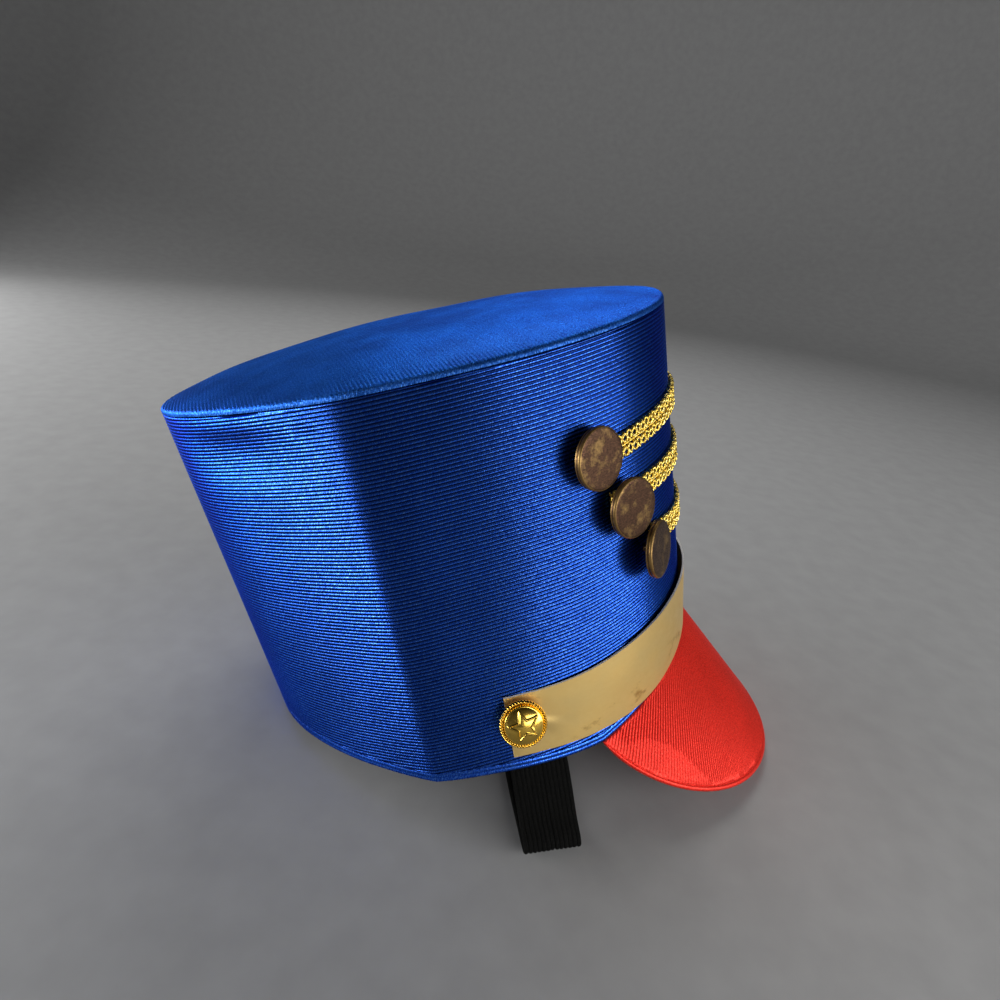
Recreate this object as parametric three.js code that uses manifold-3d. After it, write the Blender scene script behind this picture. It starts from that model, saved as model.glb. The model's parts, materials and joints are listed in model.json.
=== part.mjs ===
// A drum major hat: a tall crown of ribbed cloth, resting on the back of its rim and on the
// tip of its steep peak, with a gold band held by star buttons, three braids that end
// under disc buttons, and an elastic chin strap. Millimetres, +Z up.
// The front is towards -Y and the wearer's right towards -X. Angles are degrees round the
// crown from the front, positive on the right. Rise is 0 at the rim and 1 at the top seam.

import * as THREE from "three";
import { mergeVertices } from "three/addons/utils/BufferGeometryUtils.js";
import Module from "manifold-3d";

// Where two pieces meet they keep this gap
const GAP = 0.3;

// Crown: an oval rim and an oval top that is set back and leans, joined by straight lines
const CROWN_CLOTH = 2;
const RIM_HALF_LENGTH = 100;
const RIM_HALF_WIDTH = 94;
const RIM_ROUNDNESS = 2;
const TOP_HALF_LENGTH = 107;
const TOP_HALF_WIDTH = 84;
const TOP_ROUNDNESS = 2.1;
const TOP_SET_BACK = 12;
const TOP_HEIGHT = 152;
const TOP_LEAN_DEG = 5.7;
const CROWN_COLUMNS = 72;
const CROWN_ROWS = 10;

// Folds of the crown wall, the same on both sides: out is how far a fold stands out, or in
// if negative, at its middle. It fades out over halfWidth degrees and over reach of the rise.
const FOLDS = [
  { name: "side crease", angle: 95, halfWidth: 17, rise: 0.25, reach: 1.2, out: 2.4 },
  { name: "flat back quarter", angle: 122, halfWidth: 34, rise: 0.7, reach: 1.6, out: -4.5 },
  { name: "flat front quarter", angle: 74, halfWidth: 20, rise: 0.5, reach: 0.9, out: -1.6 },
  { name: "dent under the top seam", angle: 122, halfWidth: 26, rise: 0.86, reach: 0.12, out: -2 },
];

// Top panel, domed in the middle
const TOP_CLOTH = 2;
const TOP_DOME = 10;
const TOP_DOME_POWER = 2.5;
const TOP_RINGS = 6;

// Peak, which slopes down steeply and is longest in front. The rim arches up over it, and
// its length and slope are those from the level of the rim beside it to the free edge.
const PEAK_CLOTH = 2.5;
const PEAK_ARCH_RISE = 0.095;
const PEAK_LENGTH = 66.5;
const PEAK_END_LENGTH = 3;
const PEAK_SLOPE_DEG = 53;
const PEAK_HALF_ANGLE = 54;
const PEAK_EDGE_POWER = 0.82;
const PEAK_COLUMNS = 32;
const PEAK_ROWS = 6;

// Band, which lies on the crown and stands off it in front at its upper edge, where it is
// deepest. Its lower edge stays a little above the rim and its arch.
const BAND_VINYL = 1;
const BAND_HALF_ANGLE = 76;
const BAND_LOWER_RISE = 0.046;
const BAND_OVER_ARCH = 0.006;
const BAND_UPPER_RISE = 0.216;
const BAND_FRONT_RISE = 0.29;
const BAND_FLARE = 1.9;
const BAND_COLUMNS = 40;
const BAND_ROWS = 3;

// Braids: height at the middle of the front and at their ends
const BRAID_WIDTH = 10.5;
const BRAID_EDGE = 0.9;
const BRAID_RIDGE = 1.2;
const BRAID_COLUMNS = 26;
const BRAID_ROWS = 4;
const BRAIDS = [
  { name: "braid_upper", endAngle: 47, middleRise: 0.77, endRise: 0.735 },
  { name: "braid_middle", endAngle: 45.5, middleRise: 0.625, endRise: 0.62 },
  { name: "braid_lower", endAngle: 33, middleRise: 0.46, endRise: 0.49 },
];

// Disc buttons on short shanks, which stand on the wall or on a braid. Turn is how far a
// face turns towards the front.
const DISC_RADIUS = 11.5;
const DISC_THICKNESS = 2.8;
const DISC_BEVEL = 0.5;
const DISC_STAND_OFF = 5;
const DISC_SHANK_RADIUS = 1.5;
const DISCS = [
  { name: "disc_upper", angle: 50.3, rise: 0.75, turn: 13, onBraid: false },
  { name: "disc_middle", angle: 42.2, rise: 0.605, turn: 3, onBraid: true },
  { name: "disc_lower", angle: 35.3, rise: 0.465, turn: 14, onBraid: false },
];

// Star buttons on the ends of the band: tip is how far a face tips up
const STAR_BUTTON_ANGLE = 73;
const STAR_BUTTON_RISE = 0.15;
const STAR_BUTTON_TIP = 12;
const STAR_BUTTON_RADIUS = 9.2;
const STAR_SHANK_RADIUS = 3;
const STAR_SHANK_LENGTH = 2.6;
const STAR_FLANGE_HEIGHT = 2;
const STAR_FLANGE_BEVEL = 0.6;
const STAR_FLANGE_WIDTH = 1.2;
const STAR_DOME_RADIUS = 7.6;
const STAR_DOME_BASE = 1.5;
const STAR_DOME_HEIGHT = 2.6;
const STAR_DOME_STEPS = 4;
const STAR_RADIUS = 5.6;
const STAR_WAIST = 0.42;
const STAR_RELIEF = 0.5;
const STAR_TURN_DEG = 8;

const ROUND_SEGMENTS = 24;

// Chin strap: its middle line from its sewn end inside the right wall to the middle of the
// floor, where it lies slack, and the same mirrored on the left. It faces swing degrees to
// the front at half span, and between two heights it comes to lean as the rim does.
const STRAP_WIDTH = 24;
const STRAP_THICKNESS = 1.2;
const STRAP_STEPS = 52;
const STRAP_SWING_DEG = 19;
const STRAP_HALF_SPAN = 100;
const STRAP_LEAN_DEG = 13;
const STRAP_LEAN_FROM = 5;
const STRAP_LEAN_TO = 30;
const STRAP_ROUTE = [
  { x: -82.7, y: -26.8, z: 47 },
  { x: -83.1, y: -28.6, z: 39 },
  { x: -83.6, y: -30.5, z: 31 },
  { x: -85.8, y: -32.5, z: 25.3 },
  { x: -91, y: -35.2, z: 18.5 },
  { x: -97, y: -38, z: 11.5 },
  { x: -101.8, y: -40.2, z: 7 },
  { x: -103, y: -41, z: 4 },
  { x: -100.8, y: -40.8, z: 1.6 },
  { x: -95, y: -39.4, z: 1 },
  { x: -85, y: -36.8, z: 1 },
  { x: -70, y: -33, z: 1 },
  { x: -50, y: -29, z: 1 },
  { x: -25, y: -26, z: 1 },
  { x: 0, y: -25, z: 1 },
];

// Small steps for measuring directions on the crown
const PROBE_DEG = 0.5;
const PROBE_RISE = 0.01;

const FINISH = {
  blueCloth: { color: 0x1240b8, roughness: 0.45, metalness: 0 },
  redCloth: { color: 0xd21a14, roughness: 0.6, metalness: 0 },
  goldVinyl: { color: 0xbf9f5c, roughness: 0.35, metalness: 0.8 },
  goldBraid: { color: 0xe0bc38, roughness: 0.4, metalness: 0.8 },
  goldMetal: { color: 0xd8ae35, roughness: 0.2, metalness: 1 },
  bronze: { color: 0x6b4c2e, roughness: 0.45, metalness: 0.8 },
  elastic: { color: 0x161616, roughness: 0.9, metalness: 0 },
};

const wasm = await Module();
wasm.setup();

function named(name, geometry, finish) {
  const mesh = new THREE.Mesh(geometry, new THREE.MeshStandardMaterial(finish));
  mesh.name = name;
  return mesh;
}

// A closed solid between a front and a back sheet, each given as a point for u and v in 0..1.
// The front faces the side that v crossed with u points to. Sheets may close up to a point.
function slab(columns, rows, closed, frontAt, backAt) {
  const stations = closed ? columns : columns + 1;
  const points = [];
  for (const at of [frontAt, backAt])
    for (let i = 0; i < stations; i++)
      for (let j = 0; j <= rows; j++) points.push(at(i / columns, j / rows));
  const index = (side, i, j) => (side * stations + (i % stations)) * (rows + 1) + j;
  const front = (i, j) => index(0, i, j);
  const back = (i, j) => index(1, i, j);
  const faces = [];
  const quad = (a, b, c, d) => faces.push(a, b, c, a, c, d);
  for (let i = 0; i < columns; i++) {
    for (let j = 0; j < rows; j++) {
      quad(front(i, j), front(i, j + 1), front(i + 1, j + 1), front(i + 1, j));
      quad(back(i, j), back(i + 1, j), back(i + 1, j + 1), back(i, j + 1));
    }
    quad(front(i, 0), front(i + 1, 0), back(i + 1, 0), back(i, 0));
    quad(front(i, rows), back(i, rows), back(i + 1, rows), front(i + 1, rows));
  }
  if (!closed)
    for (let j = 0; j < rows; j++) {
      quad(front(0, j), back(0, j), back(0, j + 1), front(0, j + 1));
      quad(front(columns, j), front(columns, j + 1), back(columns, j + 1), back(columns, j));
    }
  return withoutEmptyFaces(new THREE.BufferGeometry().setFromPoints(points).setIndex(faces));
}

// The same surface with its shared points merged and its collapsed triangles left out
function withoutEmptyFaces(geometry) {
  geometry.deleteAttribute("normal");
  geometry.deleteAttribute("uv");
  const merged = mergeVertices(geometry, 1e-4);
  const kept = [];
  const old = merged.index.array;
  for (let i = 0; i < old.length; i += 3) {
    const [a, b, c] = old.slice(i, i + 3);
    if (a !== b && b !== c && c !== a) kept.push(a, b, c);
  }
  merged.setIndex(kept);
  merged.computeVertexNormals();
  return merged;
}

function toSolid(geometry) {
  const closed = withoutEmptyFaces(geometry);
  const vertProperties = new Float32Array(closed.attributes.position.array);
  const triVerts = new Uint32Array(closed.index.array);
  return new wasm.Manifold(new wasm.Mesh({ numProp: 3, vertProperties, triVerts }));
}

function toGeometry(solid) {
  const mesh = solid.getMesh();
  const geometry = new THREE.BufferGeometry();
  geometry.setAttribute("position", new THREE.BufferAttribute(mesh.vertProperties, 3));
  geometry.setIndex(new THREE.BufferAttribute(mesh.triVerts, 1));
  geometry.computeVertexNormals();
  return geometry;
}

// Crown wall

function ovalPoint(halfWidth, halfLength, roundness, angle) {
  const turn = THREE.MathUtils.degToRad(angle);
  const rounded = (value) => Math.sign(value) * Math.abs(value) ** (2 / roundness);
  return new THREE.Vector3(
    -halfWidth * rounded(Math.sin(turn)),
    -halfLength * rounded(Math.cos(turn)),
    0,
  );
}

const TOP_CENTRE = new THREE.Vector3(0, TOP_SET_BACK, TOP_HEIGHT);
const TOP_TURN = new THREE.Matrix4().makeRotationX(THREE.MathUtils.degToRad(-TOP_LEAN_DEG));
const TOP_NORMAL = new THREE.Vector3(0, 0, 1).applyMatrix4(TOP_TURN);

function plainWallPoint(angle, rise) {
  const rim = ovalPoint(RIM_HALF_WIDTH, RIM_HALF_LENGTH, RIM_ROUNDNESS, angle);
  const top = ovalPoint(TOP_HALF_WIDTH, TOP_HALF_LENGTH, TOP_ROUNDNESS, angle);
  top.applyMatrix4(TOP_TURN).add(TOP_CENTRE);
  return rim.lerp(top, rise);
}

function fade(distance) {
  return distance >= 1 ? 0 : 0.5 + 0.5 * Math.cos(Math.PI * distance);
}

function foldDepth(angle, rise) {
  const round = Math.abs(THREE.MathUtils.euclideanModulo(angle + 180, 360) - 180);
  let depth = 0;
  for (const fold of FOLDS) {
    const across = fade(Math.abs(round - fold.angle) / fold.halfWidth);
    depth += fold.out * across * fade(Math.abs(rise - fold.rise) / fold.reach);
  }
  return depth;
}

// A point of the crown wall, out millimetres outside its outer face
function wallPoint(angle, rise, out) {
  const along = plainWallPoint(angle + PROBE_DEG, rise);
  along.sub(plainWallPoint(angle - PROBE_DEG, rise));
  const outward = new THREE.Vector3(-along.y, along.x, 0).normalize();
  return plainWallPoint(angle, rise).addScaledVector(outward, foldDepth(angle, rise) + out);
}

// The rise of the lower edge of the wall, which arches up over the peak
function rimRise(angle) {
  const round = Math.abs(THREE.MathUtils.euclideanModulo(angle + 180, 360) - 180);
  const share = Math.min(round / PEAK_HALF_ANGLE, 1);
  return PEAK_ARCH_RISE * Math.cos((Math.PI / 2) * share);
}

function crownSide() {
  const at = (out) => (u, v) => {
    const angle = 360 * u;
    return wallPoint(angle, THREE.MathUtils.lerp(rimRise(angle), 1, v), out);
  };
  const geometry = slab(CROWN_COLUMNS, CROWN_ROWS, true, at(0), at(-CROWN_CLOTH));
  return named("crown_side", geometry, FINISH.blueCloth);
}

// Top panel: its edge lies over the top of the wall, and v runs from the edge to the middle
function crownTop() {
  const at = (lift) => (u, v) => {
    const share = 1 - v;
    const dome = TOP_DOME * (1 - share ** TOP_DOME_POWER);
    const point = TOP_CENTRE.clone().lerp(wallPoint(360 * u, 1, 0), share);
    return point.addScaledVector(TOP_NORMAL, GAP + lift + dome);
  };
  const geometry = slab(CROWN_COLUMNS, TOP_RINGS, true, at(TOP_CLOTH), at(0));
  return named("crown_top", geometry, FINISH.blueCloth);
}

// Peak: a flange under the wall, then a straight slope. v runs from the free edge to the root.
function peak() {
  const slope = THREE.MathUtils.degToRad(PEAK_SLOPE_DEG);
  const rootShare = 1 / PEAK_ROWS;
  const at = (below) => (u, v) => {
    const angle = THREE.MathUtils.lerp(-PEAK_HALF_ANGLE, PEAK_HALF_ANGLE, u);
    const bow = (1 - (angle / PEAK_HALF_ANGLE) ** 2) ** PEAK_EDGE_POWER;
    const length = Math.max(PEAK_END_LENGTH, PEAK_LENGTH * bow);
    const edge = wallPoint(angle, 0, length * Math.cos(slope));
    edge.z -= length * Math.sin(slope);
    const share = (1 - v - rootShare) / (1 - rootShare);
    const flange = share < 0 ? -CROWN_CLOTH : 0;
    const point = wallPoint(angle, rimRise(angle), flange).lerp(edge, Math.max(share, 0));
    const fall = edge.sub(wallPoint(angle, rimRise(angle), 0)).normalize();
    const flat = new THREE.Vector3(fall.x, fall.y, 0).normalize();
    point.addScaledVector(flat, below * fall.z);
    point.z -= GAP + below * fall.dot(flat);
    return point;
  };
  const geometry = slab(PEAK_COLUMNS, PEAK_ROWS, false, at(0), at(PEAK_CLOTH));
  return named("peak", geometry, FINISH.redCloth);
}

// Band: the fourth powers round the corner where its lower edge starts to follow the arch
function frontBand() {
  const at = (thickness) => (u, v) => {
    const angle = THREE.MathUtils.lerp(-BAND_HALF_ANGLE, BAND_HALF_ANGLE, u);
    const front = fade(Math.abs(angle) / BAND_HALF_ANGLE);
    const overArch = rimRise(angle) + BAND_OVER_ARCH;
    const lower = (BAND_LOWER_RISE ** 4 + overArch ** 4) ** 0.25;
    const upper = THREE.MathUtils.lerp(BAND_UPPER_RISE, BAND_FRONT_RISE, front);
    const standOff = BAND_FLARE * v * front;
    return wallPoint(angle, THREE.MathUtils.lerp(lower, upper, v), GAP + standOff + thickness);
  };
  const geometry = slab(BAND_COLUMNS, BAND_ROWS, false, at(BAND_VINYL), at(0));
  return named("front_band", geometry, FINISH.goldVinyl);
}

// Braid with two ridges and a groove between them
function braid({ name, endAngle, middleRise, endRise }) {
  const halfRise = BRAID_WIDTH / 2 / TOP_HEIGHT;
  const at = (thickness) => (u, v) => {
    const angle = THREE.MathUtils.lerp(-endAngle, endAngle, u);
    const middle = THREE.MathUtils.lerp(middleRise, endRise, (angle / endAngle) ** 2);
    const rise = THREE.MathUtils.lerp(middle - halfRise, middle + halfRise, v);
    return wallPoint(angle, rise, GAP + thickness(v));
  };
  const ridges = (v) => BRAID_EDGE + BRAID_RIDGE * Math.sin(2 * Math.PI * v) ** 2;
  const geometry = slab(BRAID_COLUMNS, BRAID_ROWS, false, at(ridges), at(() => 0));
  return named(name, geometry, FINISH.goldBraid);
}

// Buttons: turned about their shank, whose foot is at the origin and which points along +Y

function turned(profile) {
  return new THREE.LatheGeometry(
    profile.map(([radius, height]) => new THREE.Vector2(radius, height)),
    ROUND_SEGMENTS,
  );
}

function discGeometry(back) {
  const face = back + DISC_THICKNESS;
  const rim = DISC_RADIUS - DISC_BEVEL;
  return withoutEmptyFaces(
    turned([
      [0, 0],
      [DISC_SHANK_RADIUS, 0],
      [DISC_SHANK_RADIUS, back],
      [rim, back],
      [DISC_RADIUS, back + DISC_BEVEL],
      [DISC_RADIUS, face - DISC_BEVEL],
      [rim, face],
      [0, face],
    ]),
  );
}

function domeProfile(lift) {
  const profile = [];
  for (let step = 0; step <= STAR_DOME_STEPS; step++) {
    const swing = (Math.PI / 2) * (step / STAR_DOME_STEPS);
    const height = STAR_DOME_BASE + STAR_DOME_HEIGHT * Math.sin(swing) + lift;
    profile.push([STAR_DOME_RADIUS * Math.cos(swing), STAR_SHANK_LENGTH + height]);
  }
  profile[STAR_DOME_STEPS][0] = 0;
  return profile;
}

// One point of the star looks up, turned a little to the back on the right side
function starPrism() {
  const outline = new THREE.Shape();
  const start = THREE.MathUtils.degToRad(STAR_TURN_DEG) - Math.PI / 2;
  for (let corner = 0; corner < 10; corner++) {
    const swing = (Math.PI / 5) * corner + start;
    const radius = corner % 2 ? STAR_RADIUS * STAR_WAIST : STAR_RADIUS;
    const [x, y] = [radius * Math.cos(swing), radius * Math.sin(swing)];
    if (corner === 0) outline.moveTo(x, y);
    else outline.lineTo(x, y);
  }
  const depth = STAR_DOME_BASE + STAR_DOME_HEIGHT + 2 * STAR_RELIEF;
  const prism = new THREE.ExtrudeGeometry(outline, { depth, bevelEnabled: false });
  return prism.rotateX(-Math.PI / 2).translate(0, STAR_SHANK_LENGTH, 0);
}

// A domed button with a raised edge, and a star that stands up from the dome
function starButtonGeometry() {
  const back = STAR_SHANK_LENGTH;
  const face = back + STAR_FLANGE_HEIGHT;
  const edge = STAR_BUTTON_RADIUS;
  const body = turned([
    [0, 0],
    [STAR_SHANK_RADIUS, 0],
    [STAR_SHANK_RADIUS, back],
    [edge - STAR_FLANGE_BEVEL, back],
    [edge, back + STAR_FLANGE_BEVEL],
    [edge, face - STAR_FLANGE_BEVEL],
    [edge - STAR_FLANGE_BEVEL, face],
    [edge - STAR_FLANGE_WIDTH, back + STAR_DOME_BASE],
    ...domeProfile(0),
  ]);
  const raised = turned([
    [0, back],
    [STAR_DOME_RADIUS, back],
    ...domeProfile(STAR_RELIEF),
  ]);
  const star = toSolid(starPrism()).intersect(toSolid(raised));
  return toGeometry(toSolid(body).add(star));
}

// Seats a button on the crown: its foot is distance outside the wall, its face looks straight
// out, turned towards the front and tipped up by the given degrees
function seat(mesh, { angle, rise, distance, turn = 0, tip = 0 }) {
  const along = wallPoint(angle + PROBE_DEG, rise, 0);
  along.sub(wallPoint(angle - PROBE_DEG, rise, 0)).normalize();
  const up = wallPoint(angle, rise + PROBE_RISE, 0);
  up.sub(wallPoint(angle, rise - PROBE_RISE, 0)).normalize();
  const out = new THREE.Vector3().crossVectors(up, along).normalize();
  const foot = wallPoint(angle, rise, 0).addScaledVector(out, distance);
  const frontwards = -Math.sign(angle) * Math.tan(THREE.MathUtils.degToRad(turn));
  out.addScaledVector(along, frontwards);
  out.addScaledVector(up, Math.tan(THREE.MathUtils.degToRad(tip))).normalize();
  const side = new THREE.Vector3().crossVectors(out, up).normalize();
  up.crossVectors(side, out);
  mesh.setRotationFromMatrix(new THREE.Matrix4().makeBasis(side, out, up));
  mesh.position.copy(foot);
  return mesh;
}

// Right has positive angles
const SIDES = [
  { suffix: "_right", sign: 1 },
  { suffix: "_left", sign: -1 },
];

function discs() {
  const made = [];
  for (const { suffix, sign } of SIDES)
    for (const { name, angle, rise, turn, onBraid } of DISCS) {
      const lift = DISC_SHANK_RADIUS * Math.tan(THREE.MathUtils.degToRad(turn));
      const under = onBraid ? GAP + BRAID_EDGE + BRAID_RIDGE : 0;
      const distance = under + GAP + lift;
      const disc = named(name + suffix, discGeometry(DISC_STAND_OFF - distance), FINISH.bronze);
      made.push(seat(disc, { angle: sign * angle, rise, distance, turn }));
    }
  return made;
}

function starButtons() {
  return SIDES.map(({ suffix, sign }) => {
    const button = named("star_button" + suffix, starButtonGeometry(), FINISH.goldMetal);
    const lift = STAR_SHANK_RADIUS * Math.tan(THREE.MathUtils.degToRad(STAR_BUTTON_TIP));
    return seat(button, {
      angle: sign * STAR_BUTTON_ANGLE,
      rise: STAR_BUTTON_RISE,
      distance: GAP + BAND_VINYL + GAP + lift,
      tip: STAR_BUTTON_TIP,
    });
  });
}

// Chin strap, flat on the floor, its width swinging round to the wall and leaning with the
// rim at both ends
function chinStrap() {
  const right = STRAP_ROUTE.map(({ x, y, z }) => new THREE.Vector3(x, y, z));
  const left = STRAP_ROUTE.slice(0, -1).map(({ x, y, z }) => new THREE.Vector3(-x, y, z));
  const route = new THREE.CatmullRomCurve3([...right, ...left.reverse()]);
  const at = (side) => (u, v) => {
    const point = route.getPointAt(u);
    const swing = THREE.MathUtils.degToRad((STRAP_SWING_DEG * point.x) / STRAP_HALF_SPAN);
    const lift = THREE.MathUtils.smoothstep(point.z, STRAP_LEAN_FROM, STRAP_LEAN_TO);
    const lean = THREE.MathUtils.degToRad(STRAP_LEAN_DEG * lift);
    const across = new THREE.Vector3(Math.sin(swing), Math.cos(swing), -Math.tan(lean)).normalize();
    const normal = new THREE.Vector3().crossVectors(across, route.getTangentAt(u)).normalize();
    point.addScaledVector(across, (v - 0.5) * STRAP_WIDTH);
    return point.addScaledVector(normal, (side * STRAP_THICKNESS) / 2);
  };
  return named("chin_strap", slab(STRAP_STEPS, 1, false, at(1), at(-1)), FINISH.elastic);
}

// The tilt that brings the peak's tip down to the level of the back of the rim
function restTilt(peakMesh) {
  const points = peakMesh.geometry.attributes.position;
  let tilt = 0;
  for (let i = 0; i < points.count; i++)
    tilt = Math.max(tilt, Math.atan2(-points.getZ(i), RIM_HALF_LENGTH - points.getY(i)));
  return tilt;
}

// The hat leans back by that tilt and stands on the floor, with the middle of its box over
// the origin
const hat = new THREE.Group();
const peakMesh = peak();
hat.add(crownSide(), crownTop(), peakMesh, frontBand());
hat.add(...BRAIDS.map(braid), ...discs(), ...starButtons());
hat.rotation.x = -restTilt(peakMesh);
hat.updateMatrixWorld(true);
const box = new THREE.Box3().setFromObject(hat, true);
const middle = box.getCenter(new THREE.Vector3());
hat.position.set(-middle.x, -middle.y, -box.min.z);

const part = new THREE.Group();
part.add(hat, chinStrap());
part.updateMatrixWorld(true);

export default part;
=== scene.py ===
"""A drum major hat on a plain grey floor: ribbed satin crown and peak, a foil band held by star
buttons, three gold braids that end under worn disc buttons, and an elastic chin strap.

The hat's own frame is in millimetres: the rim lies in its XY plane, the front is towards -Y
and the wearer's right towards -X. Angles are degrees round the crown from the front, positive
on the right, and rise is 0 at the rim and 1 at the top seam. to_row brings points of that
frame into the row frame, in metres.
"""

import json
import math

import bpy
import numpy as np
from mathutils import Matrix, Vector


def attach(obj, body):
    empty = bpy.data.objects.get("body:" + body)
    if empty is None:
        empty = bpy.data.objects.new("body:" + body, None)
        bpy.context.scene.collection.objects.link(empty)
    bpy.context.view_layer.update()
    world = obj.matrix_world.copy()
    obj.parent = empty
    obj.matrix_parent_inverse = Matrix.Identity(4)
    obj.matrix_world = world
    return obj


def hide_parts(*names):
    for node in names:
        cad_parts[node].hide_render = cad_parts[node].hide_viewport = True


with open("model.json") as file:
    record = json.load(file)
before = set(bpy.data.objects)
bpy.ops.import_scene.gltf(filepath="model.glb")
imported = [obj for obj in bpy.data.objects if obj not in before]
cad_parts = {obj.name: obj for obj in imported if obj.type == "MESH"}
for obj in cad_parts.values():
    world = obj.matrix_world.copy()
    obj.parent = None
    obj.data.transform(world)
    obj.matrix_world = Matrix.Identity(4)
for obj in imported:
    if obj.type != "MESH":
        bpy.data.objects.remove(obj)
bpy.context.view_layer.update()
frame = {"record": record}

MM = 0.001
GAP = 0.3

# Crown
CROWN_CLOTH = 2.0
RIM_HALF_LENGTH = 100.0
RIM_HALF_WIDTH = 94.0
RIM_ROUNDNESS = 2.0
TOP_HALF_LENGTH = 108.5
TOP_HALF_WIDTH = 84.0
TOP_ROUNDNESS = 2.1
TOP_SET_BACK = 12.0
TOP_HEIGHT = 152.0
TOP_LEAN = math.radians(5.7)
TOP_CLOTH = 2.0
TOP_DOME = 10.0
TOP_DOME_POWER = 2.5

# Soft folds of the wall: angle, half width, rise, reach of the rise, how far out
FOLDS = [
    ("flat back quarter", 122, 34, 0.7, 1.6, -4.5),
    ("flat front quarter", 74, 20, 0.5, 0.9, -1.6),
    ("dent under the top seam", 120, 26, 0.885, 0.1, -2.3),
    ("lip at the top seam", 122, 30, 0.985, 0.06, 0.8),
]

# The sharp side crease
CREASE_ANGLE = 94
CREASE_HALF_WIDTH = 15
CREASE_RISE = 0.3
CREASE_REACH = 1.3
CREASE_OUT = 2.7
CREASE_POWER = 1.7

# Ribs of the cloth: those of the crown wall lie in planes that rise towards the front, those
# of the top run aslant across it
RIB_PITCH = 1.42
RIB_ROWS = 4
RIB_DEPTH = 0.42
# How much painted shade the groove attribute puts on the downward half of each wall rib
RIB_UNDER_SHADE = 0.8
WALL_RIB_TILT = math.radians(6.8)
TOP_RIB_HEADING = math.radians(25)
CROWN_COLUMNS = 180

# Peak
PEAK_CLOTH = 2.5
PEAK_ARCH_RISE = 0.095
PEAK_LENGTH = 66.5
PEAK_END_LENGTH = 0.9
PEAK_SLOPE = math.radians(53)
PEAK_HALF_ANGLE = 54.0
PEAK_EDGE_POWER = 0.82
PEAK_COLUMNS = 190
PEAK_RIB_PITCH = 0.72
PEAK_RIB_STRAIGHT_Y = -98.0
PEAK_RIB_BEND = 0.0003
PEAK_RIB_SPREAD = 0.00011
PEAK_HEM = 2.9
PEAK_RIBS_FROM = 15
PEAK_FULL_FROM = 9

# Band
BAND_VINYL = 1.0
BAND_HALF_ANGLE = 76.0
BAND_LOWER_RISE = 0.046
BAND_OVER_ARCH = 0.006
BAND_UPPER_RISE = 0.216
BAND_FRONT_RISE = 0.29
BAND_FLARE = 1.9

# Braids: name, end angle, rise at the middle of the front and at the ends
BRAIDS = [
    ("braid_upper", 47, 0.77, 0.735),
    ("braid_middle", 45.5, 0.625, 0.62),
    ("braid_lower", 33, 0.46, 0.49),
]
BRAID_THICKNESS = 2.1

# Disc buttons: name, angle, rise, turn towards the front, thickness of braid under the shank
DISCS = [
    ("disc_upper", 50.3, 0.75, 13, 0.0),
    ("disc_middle", 42.2, 0.605, 3, 2.4),
    ("disc_lower", 35.3, 0.465, 14, 0.0),
]
DISC_RADIUS = 11.5
DISC_THICKNESS = 2.8
DISC_STAND_OFF = 5.0
DISC_SHANK_RADIUS = 1.5

# Star buttons
STAR_BUTTON_ANGLE = 73.0
STAR_BUTTON_RISE = 0.15
STAR_BUTTON_TIP = 12.0
STAR_BUTTON_RADIUS = 9.2
STAR_SHANK_RADIUS = 3.0
STAR_SHANK_LENGTH = 2.6
STAR_DOME_RADIUS = 7.6
STAR_DOME_BASE = 1.5
STAR_DOME_HEIGHT = 2.6
STAR_RADIUS = 6.0
STAR_WAIST = 0.44
STAR_TURN = math.radians(-8)

SIDES = [("_right", 1), ("_left", -1)]

# Chin strap, in millimetres in the row frame: the right half of its middle line
STRAP_WIDTH = 24.0
STRAP_THICKNESS = 1.2
STRAP_SWING = math.radians(19)
STRAP_HALF_SPAN = 100.0
STRAP_LEAN = math.radians(13)
STRAP_LEAN_FROM = 5.0
STRAP_LEAN_TO = 30.0
STRAP_CORDS = 13
STRAP_ROUTE = [
    (-82.7, -26.8, 47),
    (-83.1, -28.6, 39),
    (-83.6, -30.5, 31),
    (-85.8, -32.5, 25.3),
    (-91, -35.2, 18.5),
    (-97, -38, 11.5),
    (-101.8, -40.2, 7),
    (-103, -41, 4),
    (-100.8, -40.8, 1.6),
    (-95, -39.4, 1),
    (-85, -36.8, 1),
    (-70, -33, 1),
    (-50, -29, 1),
    (-25, -26, 1),
    (0, -25, 1),
]

# Camera values: place in millimetres in the row frame, and its focal length in pixels of the picture
CAMERA_PLACE = (-305.04, -11.44, 232.57)
CAMERA_YAW = math.radians(2.04)
CAMERA_PITCH = math.radians(23.08)
CAMERA_ROLL = math.radians(-6.93)
CAMERA_FOCAL_PX = 707.3
PICTURE_PX = 1000
SENSOR_MM = 36.0


# Camera
def add_camera():
    cos_pitch = math.cos(CAMERA_PITCH)
    forward = Vector((cos_pitch * math.cos(CAMERA_YAW), cos_pitch * math.sin(CAMERA_YAW), 0))
    forward.z = -math.sin(CAMERA_PITCH)
    level = forward.cross(Vector((0, 0, 1))).normalized()
    down = forward.cross(level)
    right = level * math.cos(CAMERA_ROLL) + down * math.sin(CAMERA_ROLL)
    up = right.cross(forward)
    data = bpy.data.cameras.new("camera")
    data.sensor_width = SENSOR_MM
    data.lens = SENSOR_MM * CAMERA_FOCAL_PX / PICTURE_PX
    data.clip_start = 0.01
    camera = bpy.data.objects.new("camera", data)
    turn = Matrix((right, up, -forward)).transposed().to_4x4()
    camera.matrix_world = Matrix.Translation(Vector(CAMERA_PLACE) * MM) @ turn
    bpy.context.scene.collection.objects.link(camera)
    bpy.context.scene.camera = camera


# Frames and the crown wall

RIM_MOUNT = next(m for m in frame["record"]["mounts"] if m["name"] == "head_rim")
TILT = math.asin(-RIM_MOUNT["axis"][1])


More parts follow.
